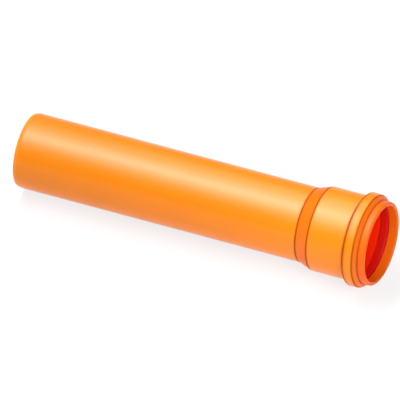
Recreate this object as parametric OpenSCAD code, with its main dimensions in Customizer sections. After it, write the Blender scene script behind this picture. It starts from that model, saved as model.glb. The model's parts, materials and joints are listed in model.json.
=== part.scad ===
// Orange PVC sewer pipe: a plain spigot, a straight barrel and a formed socket with a ring bead and a lip.
// All sizes in millimetres. The pipe lies on the floor along X with its socket towards +X.

/* [Barrel] */
// Outside diameter of the barrel and the spigot
pipe_od = 110; // [90:1:160]
// Wall of the barrel
wall = 5.3; // [3:0.1:7]
// Length over all, from the spigot end to the socket mouth
overall_length = 555; // [400:1:2000]

/* [Spigot] */
// Length of the chamfer that starts the spigot into a socket
chamfer_length = 5; // [2:0.5:9]
// Slope of the chamfer against the axis, in degrees
chamfer_angle = 15; // [8:1:18]
// Radius on the cut edge of the bore
bore_edge = 0.6; // [0.2:0.1:1]

/* [Neck] */
// Length of the cone between barrel and socket
neck_length = 20.5; // [14:0.5:40]
// Radius that blends each end of the cone
neck_blend = 6; // [2:0.5:10]

/* [Socket] */
// Gap all round between a spigot of the same size and the socket bore
spigot_clearance = 0.4; // [0.2:0.05:0.6]
// Wall of the socket
socket_wall = 6.9; // [5:0.1:8]
// Length of the straight stretch between the neck and the ring bead
socket_length = 57.5; // [40:0.5:120]

/* [Ring bead] */
// Length of the bead along the pipe, foot to foot
bead_length = 22.7; // [20:0.1:30]
// Height of the bead's crest above the socket
bead_rise = 7; // [6:0.1:9]
// Length of the steep rear shoulder
bead_rear_run = 1.4; // [1:0.1:4]
// Length of the steep front slope
bead_front_run = 5.7; // [3.5:0.1:6.5]
// Drop of the crest from its rear shoulder to its front edge
crest_fall = 0.7; // [0.3:0.1:1.2]
// Radius over the rear shoulder
shoulder_round = 2.2; // [1:0.1:4]
// Radius over the crest's front edge
crest_edge_round = 4; // [1:0.1:5]
// Radius in the rear foot of the bead
rear_foot_round = 0.8; // [0.4:0.1:2]
// Radius in the front foot of the bead
front_foot_round = 3; // [0.5:0.1:3.5]

/* [Ring groove] */
// Wall left between the groove floor and the crest
bead_wall = 5.5; // [4.5:0.1:6.5]
// Distance of the groove's front edge behind the bead's front foot
groove_setback = 2.8; // [2:0.1:3.6]
// Distance of the groove's rear edge before the bead's rear foot
groove_rear_margin = 4; // [3:0.1:5]
// Run of the groove's front wall along the pipe
groove_front_run = 3.8; // [2.5:0.1:4.5]
// Run of the groove's rear wall along the pipe
groove_rear_run = 5; // [3.5:0.1:5.5]
// Radius in the groove's corners and over its edges
groove_round = 1.2; // [0.5:0.1:1.6]

/* [Lip] */
// Length of the lip in front of the bead
lip_length = 10.8; // [8:0.1:20]
// Wall of the lip
lip_wall = 5.9; // [5:0.1:7]
// Gap all round between a spigot of the same size and the lip
lip_clearance = 0.9; // [0.7:0.05:1.2]
// Radius on the outer edge of the mouth
rim_outer_round = 2.8; // [1:0.1:3]
// Radius on the inner edge of the mouth
rim_inner_round = 2.2; // [0.8:0.1:2.4]

/* [Sealing ring] */
// Gap between the ring and the groove it sits in
seal_seat_gap = 0.2; // [0.1:0.05:0.3]
// Gap all round between the pressed-back ring and a spigot of the same size
seal_clearance = 0.2; // [0.15:0.05:0.3]
// Gap between the trailing lip's tip and the groove's rear edge
seal_tip_gap = 3.2; // [2.4:0.1:4]
// Length of the lead-in at the front of the ring
seal_lead_length = 3.4; // [2:0.1:5]
// Rise of the lead-in from the sealing face
seal_lead_rise = 1.2; // [0.8:0.1:1.6]
// Thickness of the trailing lip at its tip
seal_tip = 2; // [1.4:0.1:2.4]
// Depth of the undercut between the trailing lip and the heel
seal_undercut = 3; // [1.5:0.1:4]
// Rise of the trailing lip from its tip to the undercut's root
seal_lip_rise = 1.2; // [0.6:0.1:1.8]
// Radius on the corners of the ring
seal_round = 0.8; // [0.3:0.1:0.9]

/* [Hidden] */
$fn = 128;
// Turn between the points of a rounded corner, in degrees
arc_step = 10;

// Radii, outside and inside
pipe_r = pipe_od / 2;
bore_r = pipe_r - wall;
socket_bore_r = pipe_r + spigot_clearance;
socket_r = socket_bore_r + socket_wall;
lip_bore_r = pipe_r + lip_clearance;
lip_r = lip_bore_r + lip_wall;
crest_r = socket_r + bead_rise;
groove_r = crest_r - bead_wall;
seal_r = pipe_r + seal_clearance;
seal_nose_r = seal_r + seal_lead_rise;
seal_heel_r = groove_r - seal_seat_gap;

// Stations along the axis, from the spigot end
mouth_z = overall_length;
bead_front_z = mouth_z - lip_length;
bead_rear_z = bead_front_z - bead_length;
socket_z = bead_rear_z - socket_length;
neck_z = socket_z - neck_length;
groove_front_z = bead_front_z - groove_setback;
groove_rear_z = bead_rear_z + groove_rear_margin;
seal_front_z = seal_front_at(seal_nose_r);
seal_heel_front_z = seal_front_at(seal_heel_r);
seal_heel_rear_z = groove_rear_z + groove_rear_run + seal_seat_gap;
seal_tip_z = groove_rear_z + seal_tip_gap;

// Station of the ring's front face at a radius, the seat gap behind the groove's sloping front wall
function seal_front_at(r) =
    let (slope = groove_front_run / (groove_r - lip_bore_r))
    groove_front_z - slope * (r - lip_bore_r) - seal_seat_gap * norm([1, slope]);

// A corner is a radius, a station and the radius that rounds it
outer_corners = [
    [pipe_r - chamfer_length * tan(chamfer_angle), 0, 0],
    [pipe_r, chamfer_length, 0],
    [pipe_r, neck_z, neck_blend],
    [socket_r, socket_z, neck_blend],
    [socket_r, bead_rear_z, rear_foot_round],
    [crest_r, bead_rear_z + bead_rear_run, shoulder_round],
    [crest_r - crest_fall, bead_front_z - bead_front_run, crest_edge_round],
    [lip_r, bead_front_z, front_foot_round],
    [lip_r, mouth_z, rim_outer_round]
];
inner_corners = [
    [lip_bore_r, mouth_z, rim_inner_round],
    [lip_bore_r, groove_front_z, groove_round],
    [groove_r, groove_front_z - groove_front_run, groove_round],
    [groove_r, groove_rear_z + groove_rear_run, groove_round],
    [socket_bore_r, groove_rear_z, groove_round],
    [socket_bore_r, socket_z, neck_blend],
    [bore_r, neck_z, neck_blend],
    [bore_r, 0, bore_edge]
];
seal_corners = [
    [seal_nose_r, seal_front_z, seal_round],
    [seal_heel_r, seal_heel_front_z, groove_round],
    [seal_heel_r, seal_heel_rear_z, groove_round],
    [seal_r + seal_tip + seal_lip_rise, seal_tip_z + seal_undercut, seal_round],
    [seal_r + seal_tip, seal_tip_z, seal_round],
    [seal_r, seal_tip_z, seal_round],
    [seal_r, seal_front_z - seal_lead_length, seal_round]
];
pipe_outline = rounded(concat(outer_corners, inner_corners));
seal_outline = rounded(seal_corners);

// The pipe rests on the spigot's chamfer edge and on the bead
rest_tilt = max([for (p = pipe_outline)
    if (p.y > chamfer_length + 1)
        atan((p.x - pipe_r) / (p.y - chamfer_length))]);
rest_height = pipe_r * cos(rest_tilt) - chamfer_length * sin(rest_tilt);
reach_back = min([for (p = pipe_outline) p.y * cos(rest_tilt) - p.x * sin(rest_tilt)]);
reach_front = max([for (p = pipe_outline) p.y * cos(rest_tilt) + p.x * sin(rest_tilt)]);
rest_shift = -(reach_back + reach_front) / 2;

// A vector of length one along v
function unit(v) = v / norm(v);

// The radius and station of a corner
function spot(corner) = [corner.x, corner.y];

// Points round the corner b, which lies between a and c, or b itself where it stays sharp
function rounded_corner(a, b, c, radius) =
    radius == 0 ? [b] :
    let (
        to_a = unit(a - b),
        to_c = unit(c - b),
        half = acos(to_a * to_c) / 2,
        reach = min(radius / tan(half), norm(a - b) / 2, norm(c - b) / 2),
        arc_radius = reach * tan(half),
        centre = b + unit(to_a + to_c) * arc_radius / sin(half),
        from = b + to_a * reach - centre,
        to = b + to_c * reach - centre,
        sweep = 180 - 2 * half,
        steps = ceil(sweep / arc_step)
    )
    [for (i = [0:steps])
        let (turn = sweep * i / steps)
        centre + (from * sin(sweep - turn) + to * sin(turn)) / sin(sweep)];

// A closed outline with each corner rounded by its own radius
function rounded(corners) =
    let (n = len(corners))
    [for (i = [0:n - 1])
        each rounded_corner(
            spot(corners[(i + n - 1) % n]),
            spot(corners[i]),
            spot(corners[(i + 1) % n]),
            corners[i].z)];

// Lays a piece built along the axis down on the floor, socket forward
module at_rest() {
    translate([rest_shift, 0, rest_height])
        rotate([0, 90 - rest_tilt, 0])
            children();
}

// The pipe: one wall from the chamfered spigot through neck, socket and ring bead to the lip
module pipe() {
    color([0.95, 0.55, 0.18])
        at_rest()
            rotate_extrude()
                polygon(pipe_outline);
}

// The sealing ring: a heel in the groove, a lead-in and a trailing lip
module seal_ring() {
    color([0.75, 0.03, 0.02])
        at_rest()
            rotate_extrude()
                polygon(seal_outline);
}

pipe();
seal_ring();
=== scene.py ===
"""An orange PVC sewer pipe with a ring-seal socket, lying on a pale studio floor.

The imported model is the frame: metres, +X along the pipe towards the socket mouth, +Z up. Two turned
surfaces stand for its two solids, the pipe wall and the sealing ring. Their sizes are in millimetres
and are placed on the axis that the record's mounts give.
"""
import json
import logging
import math
from abc import ABC, abstractmethod
from dataclasses import dataclass, replace
from enum import Enum
from typing import Any, ClassVar, Sequence

import bpy
import numpy as np
from mathutils import Matrix, Vector


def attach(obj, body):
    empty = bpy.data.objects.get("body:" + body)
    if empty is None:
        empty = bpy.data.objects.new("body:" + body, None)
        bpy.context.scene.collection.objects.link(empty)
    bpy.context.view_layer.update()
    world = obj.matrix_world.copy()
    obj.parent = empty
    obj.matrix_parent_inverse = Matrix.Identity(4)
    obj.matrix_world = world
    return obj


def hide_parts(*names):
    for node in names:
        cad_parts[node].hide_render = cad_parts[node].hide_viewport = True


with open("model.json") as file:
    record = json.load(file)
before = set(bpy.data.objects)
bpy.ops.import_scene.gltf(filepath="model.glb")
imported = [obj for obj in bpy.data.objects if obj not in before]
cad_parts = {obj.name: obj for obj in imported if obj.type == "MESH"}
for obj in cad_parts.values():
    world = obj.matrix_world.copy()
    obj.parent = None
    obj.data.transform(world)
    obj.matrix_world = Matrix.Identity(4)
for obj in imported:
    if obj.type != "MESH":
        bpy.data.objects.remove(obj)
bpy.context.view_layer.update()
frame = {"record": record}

LOG = logging.getLogger("sewer_pipe")
BODY = "root"
MM = 0.001

Triple = tuple[float, float, float]
Color = Triple

WHITE: Color = (1.0, 1.0, 1.0)


def rgba(color: Color) -> tuple[float, float, float, float]:
    """A colour with full alpha, as colour sockets take it."""
    return (*color, 1.0)


def placed(origin: Sequence[float], x: Vector, y: Vector, z: Vector) -> Matrix:
    """The matrix of an object at an origin, with its own axes along three given directions."""
    return Matrix.Translation(origin) @ Matrix((x, y, z)).transposed().to_4x4()


class Tone(Enum):
    """How far the wall's colour goes from the orange outside, 0, to the red of the bore, 1. Each step
    above 0 is painted shade: the same orange PVC made deeper on the sloped faces, the lip and the rim, and
    red inside, where light bounces in the cavity.
    """

    OUTSIDE = 0.0
    # Painted shade: a deeper orange for the neck cone, the bead's front slope and the inside of the lip.
    SHADED_FACE = 0.5
    # Painted shade: deeper still, for the lip's outside and the rim.
    RIM = 0.6
    # Painted shade: the red of the bore.
    BORE = 1.0


class Ground(Enum):
    """How a stretch of wall was made: drawn through the die, or cut and trimmed on the saw."""

    DRAWN = 0.0
    CUT = 1.0


class Zone(Enum):
    """Names of the mesh attributes that tell a finish which stretch of wall it is on."""

    TONE = "tone"
    CUT = "cut"
    CREASE = "crease"


@dataclass(frozen=True)
class Corner:
    """One corner of a turned outline, in millimetres.

    Attributes:
        radius: Distance from the axis.
        station: Distance along the axis from the spigot end.
        blend: Radius that rounds the corner, 0 where it stays sharp.
        tone: Colour zone of the run that follows the corner; every zone above OUTSIDE is painted shade.
        ground: How the run that follows the corner was made.
        crease: Strength of the witness groove on the corner and of the painted shade line along it, 0 to
            1.
        crease_width: Half width of the witness groove and its painted shade line along the outline.
    """

    radius: float
    station: float
    blend: float = 0.0
    tone: Tone = Tone.OUTSIDE
    ground: Ground = Ground.DRAWN
    crease: float = 0.0
    crease_width: float = 1.4

    @property
    def spot(self) -> np.ndarray:
        """The corner as a point of radius and station."""
        return np.array([self.radius, self.station])


@dataclass(frozen=True)
class Outline:
    """A closed outline as whole arrays, one entry per point, in order along it.

    Attributes:
        points: Radius and station of each point, in millimetres.
        tone: Colour zone, as in Tone.
        cut: How the wall was made there, as in Ground.
        crease: Strength of a witness groove and of its painted shade line, 0 to 1.
    """

    points: np.ndarray
    tone: np.ndarray
    cut: np.ndarray
    crease: np.ndarray

    def normals(self) -> np.ndarray:
        """Unit normals: the step from the point before to the point after, turned out of the wall.

        Returns:
            The radius and station parts of each normal.
        """
        step = np.roll(self.points, -1, axis=0) - np.roll(self.points, 1, axis=0)
        outward = np.stack([step[:, 1], -step[:, 0]], axis=1)
        return outward / np.linalg.norm(outward, axis=1, keepdims=True)

    def sunk(self, depth: np.ndarray) -> "Outline":
        """The same outline with each point moved into the wall by its own depth in millimetres."""
        return replace(self, points=self.points - self.normals() * depth[:, None])


@dataclass(frozen=True)
class OutlineMaker:
    """Turns corners into a closed outline with rounded corners and points that crowd towards them.

    Attributes:
        arc_points: Points on each rounded corner.
        run_step: Mean step to aim for on a straight run, in millimetres.
        run_steps: Fewest and most steps on a straight run.
    """

    arc_points: int = 9
    run_step: float = 2.5
    run_steps: tuple[int, int] = (4, 40)

    def arc(self, before: Corner, corner: Corner, after: Corner) -> np.ndarray:
        """Points round one corner: a circle that touches both runs, swept from touch to touch.

        Args:
            before: The corner before it.
            corner: The corner to round.
            after: The corner after it.

        Returns:
            Points of radius and station, or the corner alone where it stays sharp.
        """
        if corner.blend == 0.0:
            return corner.spot[None, :]
        back, ahead = before.spot - corner.spot, after.spot - corner.spot
        back_length, ahead_length = np.linalg.norm(back), np.linalg.norm(ahead)
        back, ahead = back / back_length, ahead / ahead_length
        half = math.acos(float(back @ ahead)) / 2
        reach = min(corner.blend / math.tan(half), back_length / 2, ahead_length / 2)
        radius = reach * math.tan(half)
        bisector = (back + ahead) / np.linalg.norm(back + ahead)
        centre = corner.spot + bisector * radius / math.sin(half)
        first, last = corner.spot + back * reach - centre, corner.spot + ahead * reach - centre
        sweep = math.pi - 2 * half
        turn = np.linspace(0.0, sweep, self.arc_points)[:, None]
        return centre + (first * np.sin(sweep - turn) + last * np.sin(turn)) / math.sin(sweep)

    def run(self, start: np.ndarray, end: np.ndarray) -> np.ndarray:
        """Points between the ends of a straight run, spaced by a cosine so that they crowd to both ends.

        Args:
            start: Point where the run starts.
            end: Point where the run ends.

        Returns:
            The points between the two.
        """
        steps = int(np.clip(np.linalg.norm(end - start) / self.run_step, *self.run_steps))
        share = (1 - np.cos(np.linspace(0.0, math.pi, steps + 1)[1:-1])) / 2
        return start + (end - start) * share[:, None]

    @staticmethod
    def zones(before: Corner, corner: Corner, arc_count: int, run_count: int) -> np.ndarray:
        """Tone and ground of one rounded corner and the run after it.

        Args:
            before: The corner whose run comes in.
            corner: The corner whose run goes out.
            arc_count: Points on the rounded corner.
            run_count: Points on the run that goes out.

        Returns:
            Two rows, the tone and the ground, one entry per point.
        """
        pairs = [(before.tone.value, corner.tone.value), (before.ground.value, corner.ground.value)]
        share = np.linspace(0.0, 1.0, arc_count) if arc_count > 1 else np.ones(1)
        return np.stack([
            np.concatenate([old + (new - old) * share, np.full(run_count, new)]) for old, new in pairs
        ])

    def outline(self, corners: Sequence[Corner]) -> Outline:
        """Joins the rounded corners and the runs between them into one closed outline.

        A zone holds along its run and changes evenly over the rounded corner. A witness line, a groove
        that also carries a painted shade line, is a bell curve of the distance along the outline from the
        middle of its corner.

        Args:
            corners: Corners in order round the wall.

        Returns:
            The outline.
        """
        befores, afters = [corners[-1], *corners[:-1]], [*corners[1:], corners[0]]
        arcs = [self.arc(*three) for three in zip(befores, corners, afters)]
        runs = [self.run(arc[-1], following[0]) for arc, following in zip(arcs, [*arcs[1:], arcs[0]])]
        points = np.concatenate([part for pair in zip(arcs, runs) for part in pair])
        counts = [(len(arc), len(run)) for arc, run in zip(arcs, runs)]
        zones = [self.zones(*two, *count) for *two, count in zip(befores, corners, counts)]
        tone, cut = np.concatenate(zones, axis=1)
        along = np.concatenate([[0.0], np.cumsum(np.linalg.norm(np.diff(points, axis=0), axis=1))])
        firsts = np.concatenate([[0], np.cumsum([sum(count) for count in counts])[:-1]])
        middles = along[firsts + np.array([len(arc) // 2 for arc in arcs])]
        strength = np.array([corner.crease for corner in corners])
        width = np.array([corner.crease_width for corner in corners])
        bells = strength * np.exp(-(((along[:, None] - middles) / width) ** 2))
        return Outline(points, tone, cut, bells.max(axis=1))


@dataclass(frozen=True)
class Mount:
    """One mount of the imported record, in metres.

    Attributes:
        place: Middle of the mount.
        facing: Unit vector along its axis.
        radius: Radius of its pin or bore.
        length: Length of its pin or bore.
    """

    place: np.ndarray
    facing: np.ndarray
    radius: float
    length: float

    @classmethod
    def named(cls, record: dict[str, Any], name: str) -> "Mount":
        """Finds a mount of the record by its name.

        Args:
            record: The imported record.
            name: The mount's name.

        Returns:
            The mount.
        """
        entry = next(mount for mount in record["mounts"] if mount["name"] == name)
        facing = np.array(entry["axis"], dtype=float)
        dims = entry["dims"]
        return cls(
            place=np.array(entry["pos_m"], dtype=float),
            facing=facing / np.linalg.norm(facing),
            radius=dims["r_mm"] * MM,
            length=dims["length_mm"] * MM,
        )


@dataclass(frozen=True)
class TurningAxis:
    """The axis that both pieces are turned about.

    Attributes:
        start: Middle of the spigot's end face, in metres.
        along: Unit vector from the spigot towards the socket.
    """

    start: np.ndarray
    along: np.ndarray

    @property
    def side(self) -> np.ndarray:
        """Unit vector across the pipe, level."""
        return np.array([0.0, 1.0, 0.0])

    @property
    def up(self) -> np.ndarray:
        """Unit vector across the pipe, upwards."""
        return np.cross(self.along, self.side)

    @property
    def tilt(self) -> float:
        """Rise of the axis towards the socket, in radians."""
        return math.atan2(self.along[2], self.along[0])

    def point(self, station: float) -> np.ndarray:
        """The axis point at a station in millimetres."""
        return self.start + self.along * station * MM

    def turned(self, points: np.ndarray, segments: int) -> np.ndarray:
        """Carries an outline once round the axis.

        At turn t, a point of radius r and station s lies at
        start + s * along + r * (cos t * side + sin t * up).

        Args:
            points: Radius and station of each outline point, in millimetres.
            segments: Steps round the axis.

        Returns:
            Places in metres, as outline points by segments by three coordinates.
        """
        turn = np.arange(segments) * 2 * math.pi / segments
        spokes = np.cos(turn)[:, None] * self.side + np.sin(turn)[:, None] * self.up
        radius, station = points[:, 0, None, None] * MM, points[:, 1, None, None] * MM
        return self.start + station * self.along + radius * spokes


class NodeSketch:
    """Adds nodes to one shader tree and joins them."""

    def __init__(self, tree: bpy.types.NodeTree) -> None:
        """Starts on a tree and clears it."""
        self.tree = tree
        tree.nodes.clear()

    def feed(self, socket: bpy.types.NodeSocket, value: Any) -> None:
        """Joins a socket to an input, or sets the input's value.

        Args:
            socket: The input.
            value: The socket to join, or the value to set.
        """
        if isinstance(value, bpy.types.NodeSocket):
            self.tree.links.new(value, socket)
        else:
            socket.default_value = value

    def add(self, kind: str, values: dict[str, Any] | None = None, **settings: Any) -> bpy.types.Node:
        """Adds a node, its inputs given by name.

        Args:
            kind: The node's type.
            values: Input values or sockets to join, by input name.
            **settings: Properties of the node.

        Returns:
            The node.
        """
        node = self.tree.nodes.new(kind)
        for key, value in settings.items():
            setattr(node, key, value)
        for key, value in (values or {}).items():
            self.feed(node.inputs[key], value)
        return node

    def ordered(self, kind: str, *values: Any, **settings: Any) -> bpy.types.Node:
        """Adds a node whose inputs share a name, so that they are given in order.

        Args:
            kind: The node's type.
            *values: Input values or sockets to join, in the node's own order.
            **settings: Properties of the node.

        Returns:
            The node.
        """
        node = self.add(kind, **settings)
        for socket, value in zip(node.inputs, values):
            self.feed(socket, value)
        return node

    def math(self, operation: str, *values: Any) -> bpy.types.NodeSocket:
        """Adds a Math node with these inputs, as numbers or sockets, and gives its result."""
        return self.ordered("ShaderNodeMath", *values, operation=operation).outputs["Value"]

    def spread(self, value: bpy.types.NodeSocket, low: float, high: float) -> bpy.types.NodeSocket:
        """Maps a value from 0 to 1 onto the range from low to high."""
        return self.math("MULTIPLY_ADD", value, high - low, low)

    def mix(self, factor: Any, first: Any, second: Any) -> bpy.types.NodeSocket:
        """Mixes two colours.

        Args:
            factor: Share of the second colour.
            first: The first colour.
            second: The second colour.

        Returns:
            The mixed colour.
        """
        node = self.add("ShaderNodeMix", data_type="RGBA")
        sockets = {socket.identifier: socket for socket in node.inputs}
        for key, value in (("Factor_Float", factor), ("A_Color", first), ("B_Color", second)):
            self.feed(sockets[key], rgba(value) if isinstance(value, tuple) else value)
        return next(out for out in node.outputs if out.identifier == "Result_Color")

    def zone(self, zone: Zone) -> bpy.types.NodeSocket:
        """Reads one of the mesh attributes."""
        return self.add("ShaderNodeAttribute", attribute_name=zone.value).outputs["Fac"]

    def place(self, group: bpy.types.NodeTree, values: dict[str, Any]) -> bpy.types.Node:
        """Places a shared group in this tree with its own values."""
        return self.add("ShaderNodeGroup", values, node_tree=group)


class MaterialSketch(NodeSketch):
    """A new material whose shader tree is being drawn up."""

    def __init__(self, name: str) -> None:
        """Makes the material and starts on its tree.

        Args:
            name: The material's name.
        """
        self.material = bpy.data.materials.new(name)
        self.material.use_nodes = True
        super().__init__(self.material.node_tree)

    def finished(self, surface: bpy.types.NodeSocket) -> bpy.types.Material:
        """Joins a shader to the surface and hands over the material."""
        self.add("ShaderNodeOutputMaterial", {"Surface": surface})
        return self.material


@dataclass
class SharedEffects:
    """The effects that more than one finish uses, each built once as a node group.

    Attributes:
        grain_detail: Detail of the fine grain's noise.
        cloud_detail: Detail of the slow clouds' noise.
    """

    grain_detail: float = 2.0
    cloud_detail: float = 3.0

    def __post_init__(self) -> None:
        """Builds the groups."""
        self.grain = self.fine_grain()
        self.lines = self.turned_lines()

    @staticmethod
    def group(name: str, inputs: dict[str, str], outputs: Sequence[str]) -> bpy.types.NodeTree:
        """Makes an empty group with named sockets.

        Args:
            name: The group's name.
            inputs: Socket type of each input, by name.
            outputs: Names of the outputs, which are all values.

        Returns:
            The group.
        """
        tree = bpy.data.node_groups.new(name, "ShaderNodeTree")
        for key, kind in inputs.items():
            tree.interface.new_socket(key, in_out="INPUT", socket_type=kind)
        for key in outputs:
            tree.interface.new_socket(key, in_out="OUTPUT", socket_type="NodeSocketFloat")
        return tree

    def fine_grain(self) -> bpy.types.NodeTree:
        """The fine pebbled skin of moulded or drawn stock, and slow clouds of tone under it.

        Returns:
            A group that puts out Grain and Clouds, both from 0 to 1.
        """
        inputs = {
            "Vector": "NodeSocketVector",
            "Grain Scale": "NodeSocketFloat",
            "Cloud Scale": "NodeSocketFloat",
        }
        tree = self.group("fine_grain", inputs, ("Grain", "Clouds"))
        sketch = NodeSketch(tree)
        given = sketch.add("NodeGroupInput").outputs
        result = sketch.add("NodeGroupOutput").inputs
        noises = (
            ("Grain", "Grain Scale", self.grain_detail),
            ("Clouds", "Cloud Scale", self.cloud_detail),
        )
        for out, scale, detail in noises:
            values = {"Vector": given["Vector"], "Scale": given[scale], "Detail": detail}
            sketch.feed(result[out], sketch.add("ShaderNodeTexNoise", values).outputs["Fac"])
        return tree

    def turned_lines(self) -> bpy.types.NodeTree:
        """Fine rings left by a tool that went round the axis.

        They are a sine wave of the distance along the axis and the distance from it, added together.

        Returns:
            A group that puts out Lines, from 0 to 1.
        """
        inputs = {"Vector": "NodeSocketVector", "Rings per Metre": "NodeSocketFloat"}
        tree = self.group("turned_lines", inputs, ("Lines",))
        sketch = NodeSketch(tree)
        given = sketch.add("NodeGroupInput").outputs
        result = sketch.add("NodeGroupOutput").inputs
        parts = sketch.add("ShaderNodeSeparateXYZ", {"Vector": given["Vector"]}).outputs
        height_square = sketch.math("MULTIPLY", parts["Z"], parts["Z"])
        radius = sketch.math("SQRT", sketch.math("MULTIPLY_ADD", parts["Y"], parts["Y"], height_square))
        rings = sketch.math("MULTIPLY", sketch.math("ADD", parts["X"], radius), given["Rings per Metre"])
        wave = sketch.math("SINE", sketch.math("MULTIPLY", rings, math.tau))
        # The wave runs from -1 to 1, so half of it added to a half runs from 0 to 1.
        sketch.feed(result["Lines"], sketch.math("MULTIPLY_ADD", wave, 0.5, 0.5))
        return tree


def pipe_coordinates(sketch: NodeSketch, axis: TurningAxis) -> bpy.types.NodeSocket:
    """Object coordinates moved to the spigot's end and turned so that X runs along the pipe.

    Args:
        sketch: Tree to add the nodes to.
        axis: The pipe's axis.

    Returns:
        The coordinates.
    """
    turn = Matrix.Rotation(axis.tilt, 3, "Y")
    values = {
        "Vector": sketch.add("ShaderNodeTexCoord").outputs["Object"],
        "Rotation": (0.0, axis.tilt, 0.0),
        "Location": -(turn @ Vector(axis.start)),
    }
    return sketch.add("ShaderNodeMapping", values).outputs["Vector"]


@dataclass(frozen=True)
class PvcFinish:
    """Drawn rigid PVC: a satin skin with faint streaks along the pipe, paler where it was cut.

    Its colour also holds painted shade: deeper orange on the sloped faces, the lip and the rim, a red
    bore, and dark lines along the creases.

    Attributes:
        outside: Colour of the outside.
        shaded_face: Painted shade colour, a deeper orange for the neck, the bead's front slope and the
            inside of the lip.
        bore: Painted shade colour of the bore, the same PVC made red.
        cut: Colour of a sawn or trimmed face.
        crease: Painted shade colour of the dark lines along the creases and edges of the socket.
        cut_share: Largest share of the cut colour on a saw line.
        streak_shade: Most that a streak lightens or darkens the colour.
        cloud_shade: Most that a cloud lightens or darkens the colour.
        smooth: Roughness at the low end of the streaks.
        rough: Roughness at the high end of the streaks.
        cut_rough: Roughness that a cut face adds.
        bore_rough: Roughness that the bore adds.
        crease_rough: Roughness that a witness line adds.
        coat: Weight of the gloss over the outside.
        dull_coat: Weight of the gloss in the bore and in witness lines.
        coat_rough: Roughness of the gloss.
        refraction: Refractive index of PVC.
        shine: Level of the reflection under the gloss.
        shine_tint: Tint of that reflection.
        streak_scale: Scale of the streaks along the pipe and the two ways across it, per metre.
        streak_detail: Detail of the streaks' noise.
        grain_scale: Scale of the grain, per metre.
        grain_height: Height of the grain beside the streaks.
        cloud_scale: Scale of the clouds, per metre.
        rings_per_metre: Saw lines in a metre.
        relief: Height of the relief, in metres.
        relief_strength: Strength of the relief.
    """

    outside: Color = (0.95, 0.25, 0.007)
    shaded_face: Color = (0.93, 0.17, 0.006)
    bore: Color = (0.97, 0.021, 0.001)
    cut: Color = (0.97, 0.45, 0.09)
    crease: Color = (0.3, 0.038, 0.001)
    cut_share: float = 0.35
    streak_shade: float = 0.06
    cloud_shade: float = 0.05
    smooth: float = 0.36
    rough: float = 0.44
    cut_rough: float = 0.2
    bore_rough: float = 0.1
    crease_rough: float = 0.45
    coat: float = 0.46
    dull_coat: float = 0.0
    coat_rough: float = 0.28
    refraction: float = 1.53
    shine: float = 0.07
    shine_tint: Color = (1.0, 0.92, 0.5)
    streak_scale: Triple = (1.3, 240.0, 240.0)
    streak_detail: float = 3.0
    grain_scale: float = 1300.0
    grain_height: float = 0.5
    cloud_scale: float = 14.0
    rings_per_metre: float = 2600.0
    relief: float = 0.00004
    relief_strength: float = 0.6

    def material(self, axis: TurningAxis, effects: SharedEffects) -> bpy.types.Material:
        """Builds the material.

        Args:
            axis: Axis that the streaks follow.
            effects: The shared groups.

        Returns:
            The material.
        """
        sketch = MaterialSketch("pvc_orange")
        place = pipe_coordinates(sketch, axis)
        tone, cut, crease = (sketch.zone(zone) for zone in (Zone.TONE, Zone.CUT, Zone.CREASE))
        drawn_out = sketch.ordered("ShaderNodeVectorMath", place, self.streak_scale, operation="MULTIPLY")
        streak = sketch.add(
            "ShaderNodeTexNoise",
            {"Vector": drawn_out.outputs["Vector"], "Scale": 1.0, "Detail": self.streak_detail},
        ).outputs["Fac"]
        skin = sketch.place(
            effects.grain,
            {"Vector": place, "Grain Scale": self.grain_scale, "Cloud Scale": self.cloud_scale},
        ).outputs
        rings = sketch.place(
            effects.lines, {"Vector": place, "Rings per Metre": self.rings_per_metre}
        ).outputs["Lines"]
        sawn = sketch.math("MULTIPLY", cut, rings)

        # The tone ramp paints shade: from the outside's orange to a deeper orange on the sloped faces and
        # to red in the bore.
        ramp = sketch.add("ShaderNodeValToRGB", {"Fac": tone})
        stops = ramp.color_ramp.elements
        stops.new(Tone.SHADED_FACE.value)
        for stop, color in zip(stops, (self.outside, self.shaded_face, self.bore)):
            stop.color = rgba(color)
        streaked = sketch.spread(streak, -self.streak_shade, self.streak_shade)
        clouded = sketch.spread(skin["Clouds"], 1 - self.cloud_shade, 1 + self.cloud_shade)
        shade = sketch.math("ADD", streaked, clouded)
        wall = sketch.add("ShaderNodeHueSaturation", {"Color": ramp.outputs["Color"], "Value": shade})
        cut_share = sketch.math("MULTIPLY", sawn, self.cut_share)
        trimmed = sketch.mix(cut_share, wall.outputs["Color"], self.cut)

        gloss = sketch.spread(streak, self.smooth, self.rough)
        for zone, added in ((cut, self.cut_rough), (tone, self.bore_rough), (crease, self.crease_rough)):
            gloss = sketch.math("MULTIPLY_ADD", zone, added, gloss)
        coat = sketch.spread(sketch.math("MAXIMUM", tone, crease), self.coat, self.dull_coat)

        fine = sketch.math("MULTIPLY_ADD", skin["Grain"], self.grain_height, sawn)
        height = sketch.math("ADD", streak, fine)
        bump = sketch.add(
            "ShaderNodeBump", {"Height": height, "Strength": self.relief_strength, "Distance": self.relief}
        )
        # The crease zone mixes painted shade into the base colour: a dark line along each crease and edge
        # of the socket.
        shader = sketch.add(
            "ShaderNodeBsdfPrincipled",
            {
                "Base Color": sketch.mix(crease, trimmed, self.crease),
                "Roughness": gloss,
                "Normal": bump.outputs["Normal"],
                "IOR": self.refraction,
                "Specular IOR Level": self.shine,
                "Specular Tint": rgba(self.shine_tint),
                "Coat Weight": coat,
                "Coat Roughness": self.coat_rough,
            },
        )
        return sketch.finished(shader.outputs["BSDF"])


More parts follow.
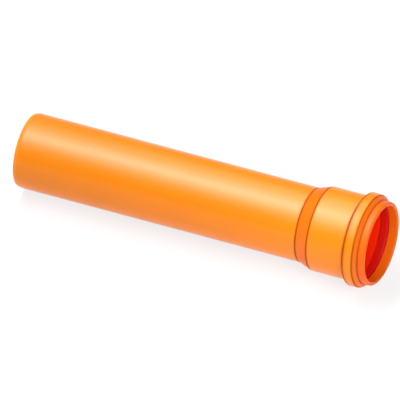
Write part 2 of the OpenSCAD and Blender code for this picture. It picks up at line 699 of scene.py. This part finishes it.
@dataclass(frozen=True)
class RubberFinish:
    """Dark red moulded rubber: dull, finely pebbled, with the mould's turning rings.

    Attributes:
        deep: Colour at the low end of the clouds and rings.
        bright: Colour at their high end.
        cloud_share: Share of the clouds in the colour.
        ring_share: Share of the rings in the colour.
        smooth: Roughness at the low end of the grain.
        rough: Roughness at the high end of the grain.
        shine: Level of the reflection.
        grain_scale: Scale of the grain, per metre.
        cloud_scale: Scale of the clouds, per metre.
        rings_per_metre: Turning rings in a metre.
        ring_height: Height of the rings beside the grain.
        relief: Height of the relief, in metres.
        relief_strength: Strength of the relief.
    """

    deep: Color = (0.64, 0.006, 0.004)
    bright: Color = (0.8, 0.01, 0.006)
    cloud_share: float = 0.7
    ring_share: float = 0.3
    smooth: float = 0.46
    rough: float = 0.62
    shine: float = 0.12
    grain_scale: float = 1900.0
    cloud_scale: float = 40.0
    rings_per_metre: float = 1500.0
    ring_height: float = 0.5
    relief: float = 0.00006
    relief_strength: float = 0.7

    def material(self, axis: TurningAxis, effects: SharedEffects) -> bpy.types.Material:
        """Builds the material.

        Args:
            axis: Axis that the rings go round.
            effects: The shared groups.

        Returns:
            The material.
        """
        sketch = MaterialSketch("rubber_red")
        place = pipe_coordinates(sketch, axis)
        skin = sketch.place(
            effects.grain,
            {"Vector": place, "Grain Scale": self.grain_scale, "Cloud Scale": self.cloud_scale},
        ).outputs
        rings = sketch.place(
            effects.lines, {"Vector": place, "Rings per Metre": self.rings_per_metre}
        ).outputs["Lines"]
        clouded = sketch.math("MULTIPLY", skin["Clouds"], self.cloud_share)
        tint = sketch.math("MULTIPLY_ADD", rings, self.ring_share, clouded)
        height = sketch.math("MULTIPLY_ADD", rings, self.ring_height, skin["Grain"])
        bump = sketch.add(
            "ShaderNodeBump", {"Height": height, "Strength": self.relief_strength, "Distance": self.relief}
        )
        shader = sketch.add(
            "ShaderNodeBsdfPrincipled",
            {
                "Base Color": sketch.mix(tint, self.deep, self.bright),
                "Roughness": sketch.spread(skin["Grain"], self.smooth, self.rough),
                "Normal": bump.outputs["Normal"],
                "Specular IOR Level": self.shine,
            },
        )
        return sketch.finished(shader.outputs["BSDF"])


@dataclass(frozen=True)
class FloorFinish:
    """A white floor that keeps a faint shadow and fades to the white of the background.

    Attributes:
        color: Colour of the floor.
        white_share: Share of plain white that the camera and reflections see.
        smooth: Roughness at the low end of the grain.
        rough: Roughness at the high end of the grain.
        grain_scale: Scale of the grain, per metre.
    """

    color: Color = (0.9, 0.9, 0.9)
    white_share: float = 0.8
    smooth: float = 0.8
    rough: float = 0.95
    grain_scale: float = 60.0

    def material(self, name: str, effects: SharedEffects) -> bpy.types.Material:
        """Builds the material.

        Args:
            name: The material's name.
            effects: The shared groups.

        Returns:
            The material.
        """
        sketch = MaterialSketch(name)
        place = sketch.add("ShaderNodeTexCoord").outputs["Object"]
        skin = sketch.place(effects.grain, {"Vector": place, "Grain Scale": self.grain_scale}).outputs
        roughness = sketch.spread(skin["Grain"], self.smooth, self.rough)
        matte = sketch.add(
            "ShaderNodeBsdfPrincipled", {"Base Color": rgba(self.color), "Roughness": roughness}
        )
        white = sketch.add("ShaderNodeEmission", {"Color": rgba(WHITE), "Strength": 1.0})
        path = sketch.add("ShaderNodeLightPath").outputs
        seen = sketch.math("MAXIMUM", path["Is Camera Ray"], path["Is Glossy Ray"])
        seen = sketch.math("MAXIMUM", seen, path["Is Transmission Ray"])
        share = sketch.math("MULTIPLY", seen, self.white_share)
        mixed = sketch.ordered(
            "ShaderNodeMixShader", share, matte.outputs["BSDF"], white.outputs["Emission"]
        )
        return sketch.finished(mixed.outputs["Shader"])


class TurnedPiece(ABC):
    """A closed surface of revolution that stands for one solid of the frame.

    Attributes:
        node: The solid's node.
        slot: The record's material slot.
        name: Name of the piece.
        segments: Steps round the axis.
    """

    node: ClassVar[str]
    slot: ClassVar[str]
    name: ClassVar[str]
    segments: ClassVar[int] = 240

    @abstractmethod
    def corners(self) -> list[Corner]:
        """The corners of the outline, in order round the wall."""

    @abstractmethod
    def depth(self, outline: Outline) -> np.ndarray:
        """Depth of the fine relief at each point of the outline, in millimetres."""

    def build(self, axis: TurningAxis, maker: OutlineMaker) -> bpy.types.Object:
        """Turns the outline into a mesh and puts it in place of its solid.

        The surface is a grid of outline points by steps round the axis, joined to itself both ways.

        Args:
            axis: Axis to turn about.
            maker: Maker of the outline.

        Returns:
            The piece.
        """
        outline = maker.outline(self.corners())
        outline = outline.sunk(self.depth(outline))
        count = len(outline.points)
        grid = np.arange(count * self.segments).reshape(count, self.segments)
        beside, ahead = np.roll(grid, -1, axis=1), np.roll(grid, -1, axis=0)
        across = np.roll(beside, -1, axis=0)
        quads = np.stack([grid, beside, across, ahead], axis=-1).reshape(-1, 4)
        mesh = bpy.data.meshes.new(self.name)
        mesh.from_pydata(axis.turned(outline.points, self.segments).reshape(-1, 3), [], quads)
        mesh.polygons.foreach_set("use_smooth", np.ones(len(quads), dtype=bool))
        zones = ((Zone.TONE, outline.tone), (Zone.CUT, outline.cut), (Zone.CREASE, outline.crease))
        for zone, values in zones:
            attribute = mesh.attributes.new(zone.value, "FLOAT", "POINT")
            attribute.data.foreach_set("value", np.repeat(values, self.segments).astype(np.float32))
        mesh.update()
        piece = bpy.data.objects.new(self.name, mesh)
        bpy.context.scene.collection.objects.link(piece)
        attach(piece, BODY)
        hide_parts(self.node)
        return piece

    def dress(self, piece: bpy.types.Object, material: bpy.types.Material) -> None:
        """Gives the piece its material, whose name matches the record's slot."""
        piece.data.materials.append(material)


@dataclass
class PipeWall(TurnedPiece):
    """The pipe: spigot, barrel, neck, socket, ring bead and lip in one wall. Sizes in millimetres.

    Attributes:
        pipe_r: Outside radius of the barrel and the spigot.
        socket_bore_r: Radius of the socket's bore.
        overall_length: Length from the spigot's end to the socket's mouth.
        wall: Wall of the barrel.
        chamfer_length: Length of the spigot's chamfer.
        chamfer_angle: Slope of the chamfer against the axis, in degrees.
        bore_edge: Radius on the cut edge of the bore.
        neck_length: Length of the cone between barrel and socket.
        neck_blend: Radius that blends each end of the cone.
        socket_wall: Wall of the socket.
        socket_length: Length of the straight stretch between the neck and the bead.
        bead_length: Length of the bead along the pipe, foot to foot.
        bead_rise: Height of the bead's crest above the socket.
        bead_rear_run: Length of the steep rear shoulder.
        bead_front_run: Length of the steep front slope.
        crest_fall: Drop of the crest from its rear shoulder to its front edge.
        shoulder_round: Radius over the rear shoulder.
        crest_edge_round: Radius over the crest's front edge.
        rear_foot_round: Radius in the rear foot of the bead.
        front_foot_round: Radius in the front foot of the bead.
        bead_wall: Wall left between the groove's floor and the crest.
        groove_setback: Distance of the groove's front edge behind the bead's front foot.
        groove_rear_margin: Distance of the groove's rear edge in front of the bead's rear foot.
        groove_front_run: Run of the groove's front wall along the pipe.
        groove_rear_run: Run of the groove's rear wall along the pipe.
        groove_round: Radius in the groove's corners and over its edges.
        lip_length: Length of the lip in front of the bead.
        lip_wall: Wall of the lip.
        lip_clearance: Gap all round between a spigot of the same size and the lip.
        rim_outer_round: Radius on the outer edge of the mouth.
        rim_inner_round: Radius on the inner edge of the mouth.
        witness_depth: Depth of the forming tool's witness lines.
        shoulder_line: Half width of the witness groove and its painted shade line over the rear shoulder.
    """

    node: ClassVar[str] = "pipe"
    slot: ClassVar[str] = "pvc_orange"
    name: ClassVar[str] = "pipe_wall"

    pipe_r: float
    socket_bore_r: float
    overall_length: float = 555.0
    wall: float = 5.3
    chamfer_length: float = 5.0
    chamfer_angle: float = 15.0
    bore_edge: float = 0.6
    neck_length: float = 20.5
    neck_blend: float = 6.0
    socket_wall: float = 6.9
    socket_length: float = 57.5
    bead_length: float = 22.7
    bead_rise: float = 7.0
    bead_rear_run: float = 1.4
    bead_front_run: float = 5.7
    crest_fall: float = 0.7
    shoulder_round: float = 2.2
    crest_edge_round: float = 4.0
    rear_foot_round: float = 0.8
    front_foot_round: float = 3.0
    bead_wall: float = 5.5
    groove_setback: float = 2.8
    groove_rear_margin: float = 4.0
    groove_front_run: float = 3.8
    groove_rear_run: float = 5.0
    groove_round: float = 1.2
    lip_length: float = 10.8
    lip_wall: float = 5.9
    lip_clearance: float = 0.9
    rim_outer_round: float = 2.8
    rim_inner_round: float = 2.2
    witness_depth: float = 0.2
    shoulder_line: float = 2.6

    @property
    def bore_r(self) -> float:
        """Radius of the bore."""
        return self.pipe_r - self.wall

    @property
    def lip_bore_r(self) -> float:
        """Radius inside the lip."""
        return self.pipe_r + self.lip_clearance

    @property
    def socket_r(self) -> float:
        """Outside radius of the socket."""
        return self.socket_bore_r + self.socket_wall

    @property
    def crest_r(self) -> float:
        """Radius of the bead's crest."""
        return self.socket_r + self.bead_rise

    @property
    def groove_r(self) -> float:
        """Radius of the ring groove."""
        return self.crest_r - self.bead_wall

    @property
    def bead_front(self) -> float:
        """Station of the bead's front foot."""
        return self.overall_length - self.lip_length

    @property
    def bead_rear(self) -> float:
        """Station of the bead's rear foot."""
        return self.bead_front - self.bead_length

    @property
    def groove_front(self) -> float:
        """Station of the groove's front edge."""
        return self.bead_front - self.groove_setback

    @property
    def groove_rear(self) -> float:
        """Station of the groove's rear edge."""
        return self.bead_rear + self.groove_rear_margin

    def corners(self) -> list[Corner]:
        """The corners of the outline, out along the outside and back along the bore.

        Returns:
            The corners, with a witness line on each one that the forming tool pressed.
        """
        mouth = self.overall_length
        socket = self.bead_rear - self.socket_length
        neck = socket - self.neck_length
        lip_r = self.lip_bore_r + self.lip_wall
        chamfer_r = self.pipe_r - self.chamfer_length * math.tan(math.radians(self.chamfer_angle))
        shoulder = self.bead_rear + self.bead_rear_run
        crest_front = self.bead_front - self.bead_front_run
        crest_front_r = self.crest_r - self.crest_fall
        groove_floor_front = self.groove_front - self.groove_front_run
        groove_floor_rear = self.groove_rear + self.groove_rear_run
        shaded_face, red = Tone.SHADED_FACE, Tone.BORE
        # The tones paint shade: the neck cone, the bead's front slope and the inside of the lip in a
        # deeper orange, the lip's outside and rim deeper still, the bore red.
        return [
            Corner(chamfer_r, 0.0, ground=Ground.CUT),
            Corner(self.pipe_r, self.chamfer_length),
            Corner(self.pipe_r, neck, self.neck_blend, shaded_face, crease=1.0),
            Corner(self.socket_r, socket, self.neck_blend, crease=1.0),
            Corner(self.socket_r, self.bead_rear, self.rear_foot_round, crease=1.0),
            Corner(
                self.crest_r, shoulder, self.shoulder_round, crease=1.0, crease_width=self.shoulder_line
            ),
            Corner(crest_front_r, crest_front, self.crest_edge_round, shaded_face, crease=0.9),
            Corner(lip_r, self.bead_front, self.front_foot_round, Tone.RIM, crease=0.8),
            Corner(lip_r, mouth, self.rim_outer_round, Tone.RIM),
            Corner(self.lip_bore_r, mouth, self.rim_inner_round, shaded_face),
            Corner(self.lip_bore_r, self.groove_front, self.groove_round, red),
            Corner(self.groove_r, groove_floor_front, self.groove_round, red),
            Corner(self.groove_r, groove_floor_rear, self.groove_round, red),
            Corner(self.socket_bore_r, self.groove_rear, self.groove_round, red),
            Corner(self.socket_bore_r, socket, self.neck_blend, red),
            Corner(self.bore_r, neck, self.neck_blend, red),
            Corner(self.bore_r, 0.0, self.bore_edge, ground=Ground.CUT),
        ]

    def depth(self, outline: Outline) -> np.ndarray:
        """Depth of the witness lines that the forming tool leaves in the creases."""
        return self.witness_depth * outline.crease


@dataclass
class SealRing(TurnedPiece):
    """The sealing ring in the groove: a heel, a lead-in and a trailing lip. Sizes in millimetres.

    Attributes:
        pipe: The pipe that holds the ring.
        seat_gap: Gap between the ring and the groove it sits in.
        clearance: Gap all round between the pressed-back ring and a spigot of the pipe's size.
        tip_gap: Gap between the trailing lip's tip and the groove's rear edge.
        lead_length: Length of the lead-in at the front of the ring.
        lead_rise: Rise of the lead-in from the sealing face.
        tip: Thickness of the trailing lip at its tip.
        undercut: Depth of the undercut between the trailing lip and the heel.
        lip_rise: Rise of the trailing lip from its tip to the undercut's root.
        edge_round: Radius on the corners of the ring.
        rib_pitch: Distance between two sealing ribs.
        rib_depth: Depth of the grooves between the ribs.
        rib_fade: Power by which the ribs fade where the ring turns away from the axis.
    """

    node: ClassVar[str] = "seal_ring"
    slot: ClassVar[str] = "rubber_red"
    name: ClassVar[str] = "rubber_seal"

    pipe: PipeWall
    seat_gap: float = 0.2
    clearance: float = 0.2
    tip_gap: float = 3.2
    lead_length: float = 3.4
    lead_rise: float = 1.2
    tip: float = 2.0
    undercut: float = 3.0
    lip_rise: float = 1.2
    edge_round: float = 0.8
    rib_pitch: float = 2.2
    rib_depth: float = 0.2
    rib_fade: int = 8

    @property
    def face_r(self) -> float:
        """Radius of the sealing face."""
        return self.pipe.pipe_r + self.clearance

    @property
    def tip_station(self) -> float:
        """Station of the trailing lip's tip."""
        return self.pipe.groove_rear + self.tip_gap

    def front_at(self, radius: float) -> float:
        """Station of the front face: a line parallel to the groove's front wall, the seat gap off it.

        Args:
            radius: Distance from the axis.

        Returns:
            The station at that radius.
        """
        pipe = self.pipe
        slope = pipe.groove_front_run / (pipe.groove_r - pipe.lip_bore_r)
        wall = pipe.groove_front - slope * (radius - pipe.lip_bore_r)
        return wall - self.seat_gap * math.hypot(1, slope)

    def corners(self) -> list[Corner]:
        """The corners of the outline, from the sealing face round the trailing lip to the lead-in.

        Returns:
            The corners.
        """
        nose_r = self.face_r + self.lead_rise
        heel_r = self.pipe.groove_r - self.seat_gap
        heel_rear = self.pipe.groove_rear + self.pipe.groove_rear_run + self.seat_gap
        root_r = self.face_r + self.tip + self.lip_rise
        heel_round = self.pipe.groove_round
        return [
            Corner(self.face_r, self.front_at(nose_r) - self.lead_length, self.edge_round),
            Corner(self.face_r, self.tip_station, self.edge_round),
            Corner(self.face_r + self.tip, self.tip_station, self.edge_round),
            Corner(root_r, self.tip_station + self.undercut, self.edge_round),
            Corner(heel_r, heel_rear, heel_round),
            Corner(heel_r, self.front_at(heel_r), heel_round),
            Corner(nose_r, self.front_at(nose_r), self.edge_round),
        ]

    def depth(self, outline: Outline) -> np.ndarray:
        """Depth of the grooves between the ribs: a cosine wave along the face that points at the axis.

        Args:
            outline: The ring's outline.

        Returns:
            The depth at each point.
        """
        station = outline.points[:, 1] - self.tip_station
        wave = (1 - np.cos(station * math.tau / self.rib_pitch)) / 2
        facing = np.clip(-outline.normals()[:, 0], 0.0, 1.0) ** self.rib_fade
        return self.rib_depth * wave * facing


@dataclass(frozen=True)
class Lamp:
    """One soft box.

    Attributes:
        name: Name of the lamp.
        place: Its middle, in metres.
        size: Sides of its face along the pipe and across it, in metres.
        power: Power in watts.
        target: Point that it faces, by default the middle of the pipe.
        spread: Width of the beam, in degrees.
    """

    name: str
    place: Triple
    size: tuple[float, float]
    power: float
    target: Triple = (0.0, 0.0, 0.06)
    spread: float = 180.0

    def hang(self) -> None:
        """Adds the lamp to the scene, the first side of its face square to the Y axis."""
        data = bpy.data.lights.new(self.name, "AREA")
        data.shape = "RECTANGLE"
        data.size, data.size_y = self.size
        data.energy = self.power
        data.spread = math.radians(self.spread)
        lamp = bpy.data.objects.new(self.name, data)
        back = (Vector(self.place) - Vector(self.target)).normalized()
        along = Vector((0.0, 1.0, 0.0)).cross(back).normalized()
        lamp.matrix_world = placed(self.place, along, back.cross(along), back)
        bpy.context.scene.collection.objects.link(lamp)


@dataclass(frozen=True)
class PhotoCamera:
    """A camera without perspective, at the photograph's viewing angle.

    Attributes:
        azimuth: Angle round the pipe from its broad side towards the socket mouth, in degrees.
        elevation: Angle above the floor, in degrees.
        picture: Width and height of the picture, in pixels.
        pixel: Size of a pixel on the pipe, in metres.
        anchor_station: Station of the axis point that places the picture, in millimetres.
        anchor_pixel: Where the photograph shows that point.
        distance: Distance of the camera from the picture's middle, in metres.
    """

    azimuth: float = 24.55
    elevation: float = 39.46
    picture: int = 400
    pixel: float = 0.001429
    anchor_station: float = 267.6
    anchor_pixel: tuple[float, float] = (198.7, 195.3)
    distance: float = 2.5

    def place(self, axis: TurningAxis) -> None:
        """Adds the camera and makes it the scene's own.

        Args:
            axis: The pipe's axis.
        """
        turn, rise = math.radians(self.azimuth), math.radians(self.elevation)
        right = Vector((math.cos(turn), math.sin(turn), 0.0))
        up = Vector((-math.sin(turn) * math.sin(rise), math.cos(turn) * math.sin(rise), math.cos(rise)))
        back = right.cross(up)
        column, row = self.anchor_pixel
        middle = self.picture / 2
        centre = Vector(axis.point(self.anchor_station))
        centre -= (right * (column - middle) + up * (middle - row)) * self.pixel
        data = bpy.data.cameras.new("photo_camera")
        data.type = "ORTHO"
        data.ortho_scale = self.picture * self.pixel
        camera = bpy.data.objects.new("photo_camera", data)
        camera.matrix_world = placed(centre + back * self.distance, right, up, back)
        bpy.context.scene.collection.objects.link(camera)
        bpy.context.scene.camera = camera


@dataclass(frozen=True)
class Studio:
    """The floor, the soft light and the white surroundings.

    Attributes:
        floor_half: Half the side of the floor, in metres.
        drop: Depth of the white sheet under the floor, which a low camera sees, in metres.
        world_strength: Strength of the light from all round.
        lamps: The soft boxes.
    """

    floor_half: float = 8.0
    drop: float = 0.5
    world_strength: float = 0.05
    lamps: tuple[Lamp, ...] = (
        Lamp("overhead_box", (-1.69, -0.55, 4.74), (1.0, 1.8), 64.0),
        Lamp("overhead_strip", (-1.69, -0.5, 4.75), (1.0, 4.8), 112.0),
        Lamp("overhead_bank", (-1.69, -0.15, 4.76), (1.0, 10.5), 232.0),
        Lamp("back_box", (-0.3, 1.3, 1.1), (1.5, 0.9), 1.6),
        Lamp("mouth_box", (1.0, -0.6, 0.9), (0.6, 0.6), 1.02, target=(0.4, 0.05, 0.1), spread=40.0),
    )

    def lay(self, name: str, height: float, finish: FloorFinish, effects: SharedEffects) -> None:
        """Lays one square sheet of the stage.

        Args:
            name: Name of the sheet and its material.
            height: Its height, in metres.
            finish: Its finish.
            effects: The shared groups.
        """
        half = self.floor_half
        corners = np.array([[-half, -half], [half, -half], [half, half], [-half, half]])
        mesh = bpy.data.meshes.new(name)
        mesh.from_pydata(np.pad(corners, ((0, 0), (0, 1)), constant_values=height), [], [(0, 1, 2, 3)])
        mesh.materials.append(finish.material(name, effects))
        sheet = bpy.data.objects.new(name, mesh)
        bpy.context.scene.collection.objects.link(sheet)

    def build(self, effects: SharedEffects) -> None:
        """Lays the floor and the white sheet under it, hangs the lamps and sets the world.

        Args:
            effects: The shared groups.
        """
        self.lay("studio_floor", 0.0, FloorFinish(), effects)
        self.lay("under_floor", -self.drop, FloorFinish(white_share=1.0), effects)
        for lamp in self.lamps:
            lamp.hang()
        world = bpy.data.worlds.new("studio")
        world.use_nodes = True
        background = world.node_tree.nodes["Background"].inputs
        background["Color"].default_value = rgba(WHITE)
        background["Strength"].default_value = self.world_strength
        bpy.context.scene.world = world
        bpy.context.scene.view_settings.view_transform = "Standard"


def main() -> None:
    """Builds and dresses the two pieces, then the studio and the camera."""
    logging.basicConfig(level=logging.INFO, format="%(message)s")
    record = frame["record"]
    spigot, socket = Mount.named(record, "spigot"), Mount.named(record, "socket")
    pipe = PipeWall(pipe_r=spigot.radius / MM, socket_bore_r=socket.radius / MM)
    end = spigot.place + spigot.facing * (spigot.length / 2 + pipe.chamfer_length * MM)
    axis = TurningAxis(start=end, along=-spigot.facing)
    effects = SharedEffects()
    maker = OutlineMaker()
    for part, finish in ((pipe, PvcFinish()), (SealRing(pipe), RubberFinish())):
        piece = part.build(axis, maker)
        part.dress(piece, finish.material(axis, effects))
        LOG.info("%s: %d faces, stands for %s", piece.name, len(piece.data.polygons), part.node)
    Studio().build(effects)
    PhotoCamera().place(axis)
    LOG.info("boxes written")


if __name__ == "__main__":
    main()
